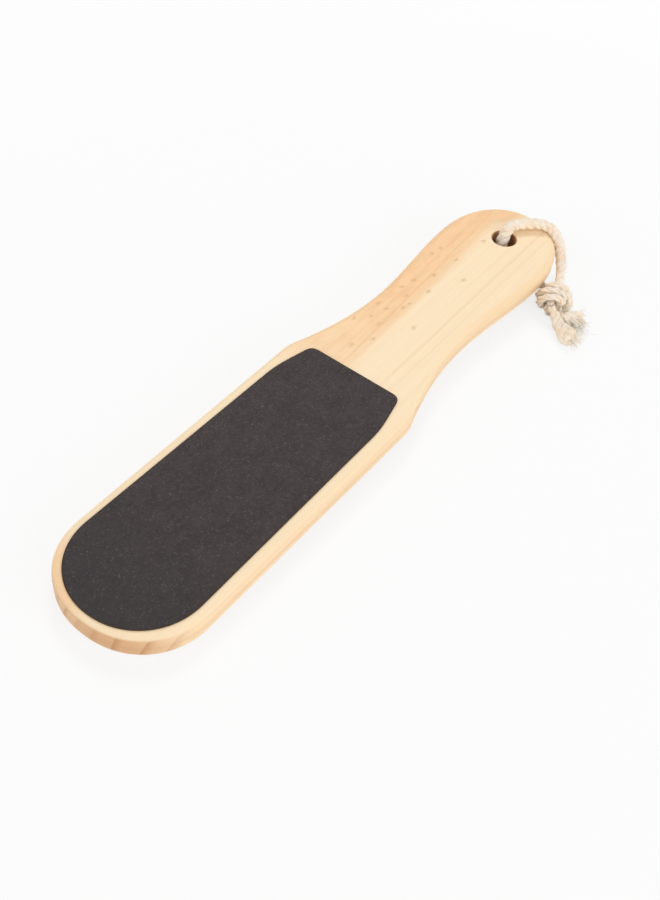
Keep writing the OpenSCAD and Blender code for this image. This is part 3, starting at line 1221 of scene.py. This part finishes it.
    def radius(self, at: float) -> float:
        """Gives the cord's radius at a distance along it."""
        free = mix(self.knot_strand_d, self.cord_d, smooth_step(0, self.draw_length, self.into_loop(at)))
        return mix(free, self.tail_end_d, smooth_step(0, 1, self.tail_share(at))) / 2

    def tail_share(self, at: float) -> float:
        """Gives how far along a tail a place is.

        Args:
            at: Distance along the cord.

        Returns:
            The share, from 0 at the knot to 1 at the tip.
        """
        share_a = 1 - at / self.tail_a_end
        share_b = (at - self.tail_b_start) / (self.length - self.tail_b_start)
        return min(max(share_a, share_b, 0.0), 1.0)

    def flat(self, at: float) -> float:
        """Gives how far the cord is pressed flat at a distance along it."""
        clear = max(self.into_loop(at), self.tail_a_end - at, at - self.tail_b_start)
        return mix(self.knot_flat_share, 1, smooth_step(0, self.draw_length, clear))


@dataclass(frozen=True)
class Fibre:
    """One bent, pointed fibre, in mm: where it starts, how it heads, turns aside and waves."""

    start: Vector
    ahead: Vector
    bend: Vector
    reach: float
    radius: float
    wave: Vector
    phase: float
    waves: float = 5
    taper: float = 0.75
    lowest: float = 0.5

    def point(self, share: float, angle: float, closed: bool) -> Vector:
        """Gives a point on the fibre.

        Args:
            share: Share of its length, from 0 at its start to 1.
            angle: Angle round it.
            closed: Whether the fibre closes to a point there.

        Returns:
            The point, in mm.
        """
        side = self.ahead.orthogonal().normalized()
        other = self.ahead.cross(side)
        turned = self.ahead + self.bend * share + self.wave * math.sin(self.phase + self.waves * share)
        middle = self.start + turned * self.reach * share
        middle.z = max(middle.z, self.lowest)
        thick = 0 if closed else self.radius * (1 - self.taper * share)
        return middle + thick * (math.cos(angle) * side + math.sin(angle) * other)


@dataclass
class HangingCord:
    """The twine's pieces: three twisted plies of yarns, frayed tails and loose fibres."""

    twine: Twine = field(default_factory=Twine)
    finish: CottonFinish = field(default_factory=CottonFinish)
    # A paler copy of the cotton for the frayed yarns and loose fibres: painted light that offsets the
    # shade among them
    brightened_loose_finish: CottonFinish = CottonFinish(
        "loose_cotton_painted_light", pale=(255, 251, 242), warm=(255, 242, 221), crease=(244, 224, 200),
        fibre=(251, 240, 226))
    seed: int = 7
    overlap: float = 0.6
    # The plies' lay and thickness
    plies: int = 3
    ply_sides: int = 30
    ply_share: float = 0.56
    pitch: float = 10.5
    fluff: float = 1.07
    wear: float = 0.03
    wear_scale: float = 0.9
    ply_apart: float = 7.3
    lowest: float = 0.1
    # Where the cord comes out of the hole, and how it swells there
    mouth: Vector = field(default_factory=lambda: Vector((111.2, 0.9, 12.5)))
    mouth_span: Span = (9, 2)
    mouth_swell: float = 0.2
    # How the plies part, swell and end in the tails
    splay: float = 1.15
    open_swell: float = 0.22
    tip_gap: float = 1.6
    tip_round: float = 2.4
    tip_blunt: float = 0.15
    tip_least: float = 0.05
    # The yarns on each ply, and the painted shade in the creases beside them and on the plies' inner
    # sides
    yarns: int = 6
    yarn_turn: float = -0.5
    yarn_depth: float = 0.06
    yarn_round: float = 0.6
    yarn_crease_shade: float = 0.55
    crease_shade_span: Span = (0.85, 0.25)
    tail_crease_shade: float = 0.2
    # The frayed yarns of each tail, every fourth of which is thin
    frayed: int = 130
    frayed_back: Pair = (3, 11)
    frayed_radius: Pair = (0.3, 0.52)
    thin_radius: float = 0.08
    thin_every: int = 4
    # The loose fibres on the cord, away from its very ends, with painted shade at their roots
    loose: int = 5200
    bare_steps: int = 4
    loose_reach: Pair = (0.7, 2.2)
    loose_radius: float = 0.036
    loose_root_shade: float = 0.15
    # Sides of a frayed yarn or a loose fibre, and how far it waves aside
    fibre_sides: int = 4
    wave: float = 0.16

    def build(self) -> None:
        self.material = self.finish.build()
        self.brightened_loose_material = self.brightened_loose_finish.build()
        twine = self.twine
        gaps = [(point - self.mouth).length for point in twine.points]
        self.mouth_at = gaps.index(min(gaps)) * twine.step
        self.lay_plies()
        start, end = twine.loop_start - self.overlap, twine.loop_end + self.overlap
        loop = self.plied("cord_loop_twine", [(start, end)])
        knot = self.plied("cord_knot_twine", [(twine.tail_a_end, twine.loop_start),
                                              (twine.loop_end, twine.tail_b_start)])
        tails = self.plied("cord_tails_twine", [
            (self.tip_gap, twine.tail_a_end + self.overlap),
            (twine.tail_b_start - self.overlap, twine.length - self.tip_gap)])
        fray = self.frayed_ends()
        fuzz = self.loose_fibres()
        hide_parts("cord_loop")
        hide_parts("cord_knot")
        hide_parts("cord_tail_a", "cord_tail_b")
        first, last = twine.index(start), twine.index(end)
        path = [point * MM for point in twine.points[first:last + 1]]
        tuple(path[0])
        [tuple(point) for point in path]

    def lay_plies(self) -> None:
        """Works out the middle line of each ply along the whole cord."""
        self.lines = [
            [point + self.outward(k, ply) * self.ply_offset(k * self.twine.step)
             for k, point in enumerate(self.twine.points)]
            for ply in range(self.plies)]

    def visual_radius(self, at: float) -> float:
        """Gives the radius of the fluffy cord: a little over its plain size, more at the hole's mouth."""
        swell = self.mouth_swell * smooth_step(*self.mouth_span, abs(at - self.mouth_at))
        return self.twine.radius(at) * (self.fluff + swell)

    def ply_radius(self, at: float) -> float:
        """Gives a ply's radius at a distance along the cord."""
        return self.visual_radius(at) * self.ply_share * (1 + self.open_swell * self.twine.tail_share(at))

    def ply_offset(self, at: float) -> float:
        """Gives how far a ply's middle lies from the cord's middle."""
        opened = self.twine.tail_share(at)
        return self.visual_radius(at) * (1 - self.ply_share) * (1 + self.splay * opened)

    def outward(self, k: int, ply: int) -> Vector:
        """Gives the direction from the cord's middle to a ply's middle, flattened in the knot.

        Args:
            k: Number of the point on the cord.
            ply: Number of the ply.

        Returns:
            The direction, of length 1 where the cord isn't flat.
        """
        twine = self.twine
        at = k * twine.step
        angle = 2 * math.pi * (at / self.pitch + ply / self.plies)
        side = twine.sides[k]
        other = twine.headings[k].cross(side)
        away = math.cos(angle) * side + math.sin(angle) * other
        return Vector((away.x, away.y, away.z * twine.flat(at) * (1 - 0.5 * twine.tail_share(at))))

    def skin_point(self, ply: int, k: int, angle: float, radius: float) -> Vector:
        """Gives a point on a ply's skin.

        Args:
            ply: Number of the ply.
            k: Number of the point on the cord.
            angle: Angle round the ply, from the side that faces out of the cord.
            radius: Distance from the ply's middle.

        Returns:
            The point, in mm.
        """
        line = self.lines[ply]
        heading = (line[min(k + 1, len(line) - 1)] - line[max(k - 1, 0)]).normalized()
        away = self.outward(k, ply)
        away = (away - heading * away.dot(heading)).normalized()
        offset = radius * (math.cos(angle) * away + math.sin(angle) * heading.cross(away))
        offset.z *= self.twine.flat(k * self.twine.step)
        return line[k] + offset

    def yarn_height(self, at: float, angle: float) -> float:
        """Gives the height of the yarns that lie side by side on a ply, from 0 to 1."""
        return abs(math.sin(self.yarns / 2 * (angle - self.yarn_turn * at))) ** self.yarn_round

    def plied(self, name: str, stretches: Sequence[Pair]) -> bpy.types.Object:
        """Makes a piece of three plies along one or more stretches of the cord.

        Args:
            name: The piece's name.
            stretches: First and last distance along the cord of each stretch.

        Returns:
            The piece.
        """
        bm = bmesh.new()
        bm.loops.layers.uv.new("UVMap")
        crease = bm.verts.layers.float.new("crease")
        for start, end in stretches:
            first, last = self.twine.index(start), self.twine.index(end)
            for ply in range(self.plies):
                self.ply_tube(bm, crease, ply, first, last)
        bmesh.ops.remove_doubles(bm, verts=bm.verts[:], dist=DOUBLES_GAP * MM)
        return make_piece(bm, name, self.material, "hanging_cord", "cord")

    def ply_tube(self, bm: bmesh.types.BMesh, crease: bmesh.types.BMLayerItem,
                 ply: int, first: int, last: int) -> None:
        """Wraps a grid round one ply from one point of the cord to another, and closes its ends.

        Args:
            bm: The bmesh that takes the tube.
            crease: Layer for the painted shade in the creases and on the plies' inner sides.
            ply: Number of the ply.
            first: Number of the first point on the cord.
            last: Number of the last point.
        """
        rows = last - first + 2
        grid = bmesh.ops.create_grid(bm, x_segments=self.ply_sides, y_segments=rows, size=0.5,
                                     calc_uvs=True)
        for vert in grid["verts"]:
            row = round((vert.co.y + 0.5) * rows)
            k = min(max(first + row - 1, first), last)
            at = k * self.twine.step
            angle = 2 * math.pi * (vert.co.x + 0.5)
            closed = row in (0, rows)
            radius = self.ply_radius(at)
            yarn = self.yarn_height(at, angle)
            spot = Vector((at * self.wear_scale, ply * self.ply_apart, math.cos(angle)))
            wear = self.wear * noise.noise(spot)
            body = radius * (1 - self.yarn_depth * (1 - yarn) + wear)
            point = self.skin_point(ply, k, angle, 0 if closed else body * self.tip_taper(at))
            point.z = max(point.z, self.lowest)
            vert.co = point * MM
            # Painted shade: darker in the creases between yarns and on the ply's side facing into the
            # cord, less on the tails
            out = 0.5 + 0.5 * math.cos(angle)
            crease_shade_depth = max(smooth_step(*self.crease_shade_span, out), (1 - yarn) * self.yarn_crease_shade)
            vert[crease] = crease_shade_depth * mix(1, self.tail_crease_shade, self.twine.tail_share(at))

    def tip_taper(self, at: float) -> float:
        """Rounds off a ply near a tail's tip."""
        to_tip = min(at, self.twine.length - at) - self.tip_gap
        return math.sqrt(min(max((to_tip + self.tip_blunt) / self.tip_round, self.tip_least), 1))

    def random_wave(self, rng: random.Random) -> tuple[Vector, float]:
        """Gives how a fibre waves aside, and where in its wave it starts."""
        wave = Vector([rng.uniform(-self.wave, self.wave) for _ in "xyz"])
        return wave, rng.uniform(0, 2 * math.pi)

    def frayed_ends(self) -> bpy.types.Object:
        """Makes the tufts of untwisted yarns at both tails' ends.

        Returns:
            The piece.
        """
        rng = random.Random(self.seed)
        twine = self.twine
        last = len(twine.points) - 1
        yarns = []
        for tip, inward in ((0, 1), (last, -1)):
            across = (twine.points[last - tip] - twine.points[tip]).normalized()
            for number in range(self.frayed):
                back = inward * round(rng.uniform(*self.frayed_back) / twine.step)
                k = tip + back
                depth = self.ply_radius(k * twine.step) * rng.uniform(0.5, 0.98)
                start = self.skin_point(number % self.plies, k, rng.uniform(-math.pi, math.pi), depth)
                spread = (start - twine.points[k]).normalized() * rng.uniform(0.05, 0.5)
                bend = spread + across * max(rng.gauss(0.45, 0.35), 0)
                reach = abs(back) * twine.step + rng.uniform(-2.2, 0.9)
                thin = number % self.thin_every == 0
                radius = self.thin_radius if thin else rng.uniform(*self.frayed_radius)
                yarns.append(Fibre(start, twine.headings[k] * -inward, bend, reach, radius,
                                   *self.random_wave(rng)))
        return self.fibres("cord_frayed_ends", yarns, rows=6)

    def loose_fibres(self) -> bpy.types.Object:
        """Makes the fine fibres that stand off the cord.

        Returns:
            The piece.
        """
        rng = random.Random(self.seed + 1)
        twine = self.twine
        last = len(twine.points) - self.bare_steps
        hairs = []
        for _ in range(self.loose):
            k = rng.randint(self.bare_steps, last)
            radius = self.ply_radius(k * twine.step) * 0.93
            start = self.skin_point(rng.randrange(self.plies), k, rng.gauss(0, 0.8), radius)
            away = (start - twine.points[k]).normalized()
            ahead = twine.headings[k] * rng.choice((-1, 1)) + away * rng.uniform(0.1, 0.6)
            bend = away * rng.uniform(-0.5, 0.4)
            hairs.append(Fibre(start, ahead.normalized(), bend, rng.uniform(*self.loose_reach),
                               self.loose_radius, *self.random_wave(rng)))
        return self.fibres("cord_loose_fibres", hairs, rows=3)

    def fibres(self, name: str, fibres: Sequence[Fibre], rows: int) -> bpy.types.Object:
        """Makes a piece of many closed fibres from one grid that is cut apart between them.

        Args:
            name: The piece's name.
            fibres: The fibres.
            rows: Number of stretches along each.

        Returns:
            The piece.
        """
        bm = bmesh.new()
        bm.loops.layers.uv.new("UVMap")
        crease = bm.verts.layers.float.new("crease")
        stops = rows + 2
        last = len(fibres) * stops - 1
        bmesh.ops.create_grid(bm, x_segments=self.fibre_sides, y_segments=last, size=0.5,
                              calc_uvs=True)
        places = {vert: divmod(round((vert.co.y + 0.5) * last), stops) for vert in bm.verts}
        joins = [face for face in bm.faces if len({places[vert][0] for vert in face.verts}) > 1]
        for vert, (number, row) in places.items():
            share = min(row, rows) / rows
            closed = row in (0, rows + 1)
            vert.co = fibres[number].point(share, 2 * math.pi * (vert.co.x + 0.5), closed) * MM
            # Painted shade at each fibre's root, fading along it
            vert[crease] = self.loose_root_shade * (1 - share)
        bmesh.ops.delete(bm, geom=joins, context="FACES")
        bmesh.ops.remove_doubles(bm, verts=bm.verts[:], dist=DOUBLES_GAP * MM)
        return make_piece(bm, name, self.brightened_loose_material, "hanging_cord", "cord")


@dataclass
class Viewpoint:
    """The camera, at the photograph's place and angle."""

    place: Vector = field(default_factory=lambda: Vector((-253.562, -148.941, 294.896)))
    aim: Vector = field(default_factory=lambda: Vector((-29.54, -14.738, 10)))
    roll: float = 8.034
    lens: float = 45.285
    sensor: float = 36
    nearest: float = 10

    def build(self) -> bpy.types.Object:
        """Makes the camera and makes it the scene's.

        Returns:
            The camera.
        """
        data = bpy.data.cameras.new("viewpoint")
        data.lens = self.lens
        data.sensor_width = self.sensor
        data.clip_start = self.nearest * MM
        camera = add_object("viewpoint", data)
        turn = (self.aim - self.place).to_track_quat("-Z", "Y").to_matrix().to_4x4()
        roll = Matrix.Rotation(math.radians(self.roll), 4, "Z")
        camera.matrix_world = Matrix.Translation(self.place * MM) @ turn @ roll
        bpy.context.scene.camera = camera
        return camera


@dataclass(frozen=True)
class SoftLamp:
    """A round lamp that points at the object: its place and diameter in metres, and its watts."""

    name: str
    place: Triple
    size: float
    power: float

    def build(self) -> bpy.types.Object:
        """Makes the lamp.

        Returns:
            The lamp.
        """
        data = bpy.data.lights.new(self.name, "AREA")
        data.shape = "DISK"
        data.size = self.size
        data.energy = self.power
        place = Vector(self.place)
        lamp = add_object(self.name, data)
        turn = (-place).to_track_quat("-Z", "Y").to_matrix().to_4x4()
        lamp.matrix_world = Matrix.Translation(place) @ turn
        return lamp


@dataclass
class Studio:
    """A plain white floor under soft, even light."""

    floor_size: float = 6.0
    floor_colour: Colour = (246, 246, 246)
    # Share of the floor that looks plain white, and where the rest of it fades to white
    floor_glow: float = 0.8
    shadow_reach: Span = (0.17, 0.5)
    sky_strength: float = 0.48
    lamps: tuple[SoftLamp, ...] = (
        SoftLamp("key_lamp", (0.75, 0.55, 1.15), 0.5, 6.4),
        SoftLamp("side_lamp", (-0.15, -1.3, 0.5), 1.4, 9.8),
        SoftLamp("toe_lamp", (-1.15, 0.6, 0.65), 1.2, 4.7),
    )

    def build(self) -> None:
        """Builds the floor, the sky and the lamps."""
        self.floor()
        self.sky()
        for lamp in self.lamps:
            lamp.build()
        bpy.context.scene.view_settings.view_transform = "Standard"

    def floor(self) -> bpy.types.Object:
        """Makes the floor, which looks white to the camera and keeps the object's shadow.

        Returns:
            The floor.
        """
        bm = bmesh.new()
        bmesh.ops.create_grid(bm, x_segments=1, y_segments=1, size=self.floor_size / 2)
        mesh = bpy.data.meshes.new("floor")
        bm.to_mesh(mesh)
        bm.free()
        material, graph = new_material("white_floor")
        lit = graph.node("ShaderNodeBsdfDiffuse", {}, {"Color": linear(self.floor_colour)})
        glow = graph.node("ShaderNodeEmission", {}, {"Color": linear(WHITE), "Strength": 1.0})
        away = graph.node("ShaderNodeVectorMath", {"operation": "LENGTH"}, {0: graph.coordinates()},
                          "Value")
        share = self.floor_glow + away.smooth(*self.shadow_reach) * (1 - self.floor_glow)
        shader = graph.node("ShaderNodeMixShader", {}, {0: self.seen(graph) * share, 1: lit, 2: glow})
        graph.node("ShaderNodeOutputMaterial", {}, {"Surface": shader})
        mesh.materials.append(material)
        floor = add_object("floor", mesh)
        return floor

    @staticmethod
    def seen(graph: Graph) -> Sock:
        """Gives 1 for rays that show the background to the camera, straight or by a reflection."""
        camera = graph.node("ShaderNodeLightPath", {}, {}, "Is Camera Ray")
        return sum(graph.outputs(camera, "Is Glossy Ray", "Is Transmission Ray"), start=camera).least(1.0)

    def sky(self) -> None:
        """Makes the even light around the scene, white where the camera sees it."""
        world = bpy.data.worlds.new("studio")
        world.use_nodes = True
        graph = Graph(world.node_tree)
        light, shown = (
            graph.node("ShaderNodeBackground", {}, {"Color": linear(WHITE), "Strength": strength})
            for strength in (self.sky_strength, 1.0))
        shader = graph.node("ShaderNodeMixShader", {}, {0: self.seen(graph), 1: light, 2: shown})
        graph.node("ShaderNodeOutputWorld", {}, {"Surface": shader})
        bpy.context.scene.world = world


COARSE = GritFinish("coarse_grit", resin=(46, 38, 39), grain=(69, 60, 60), olive=(62, 56, 51),
                    toe=(49, 44, 46), speck=(100, 91, 89), rim=(50, 38, 28), grain_size=0.42)
FINE = GritFinish("fine_grit", resin=(66, 58, 57), grain=(88, 80, 78), olive=(76, 74, 68),
                  toe=(70, 67, 67), speck=(114, 107, 105), rim=(58, 46, 36), grain_size=0.24)


def main() -> None:
    """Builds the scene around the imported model."""
    logging.basicConfig(level=logging.INFO, format="%(name)s: %(message)s")
    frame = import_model()
    joint = next(entry for entry in frame["joints"] if entry["name"] == "cord_swing")
    file_frame = FileFrame(Vector(joint["pos_m"]), Vector(joint["axis"]))
    Viewpoint().build()
    HangingCord().build()
    WoodPaddle(file_frame).build(frame["nodes"]["wood_body"])
    sheets = (
        AbrasiveSheet(file_frame, Side.FRONT, COARSE, relief=0.16, coat="coarse_grit_coat",
                      cloth="front_backing_cloth", film="front_adhesive_film"),
        AbrasiveSheet(file_frame, Side.REAR, FINE, relief=0.07, coat="fine_grit_coat",
                      cloth="rear_backing_cloth", film="rear_adhesive_film", seed=40.0),
    )
    for sheet in sheets:
        sheet.build(frame["nodes"])
    Studio().build()


if __name__ == "__main__":
    main()
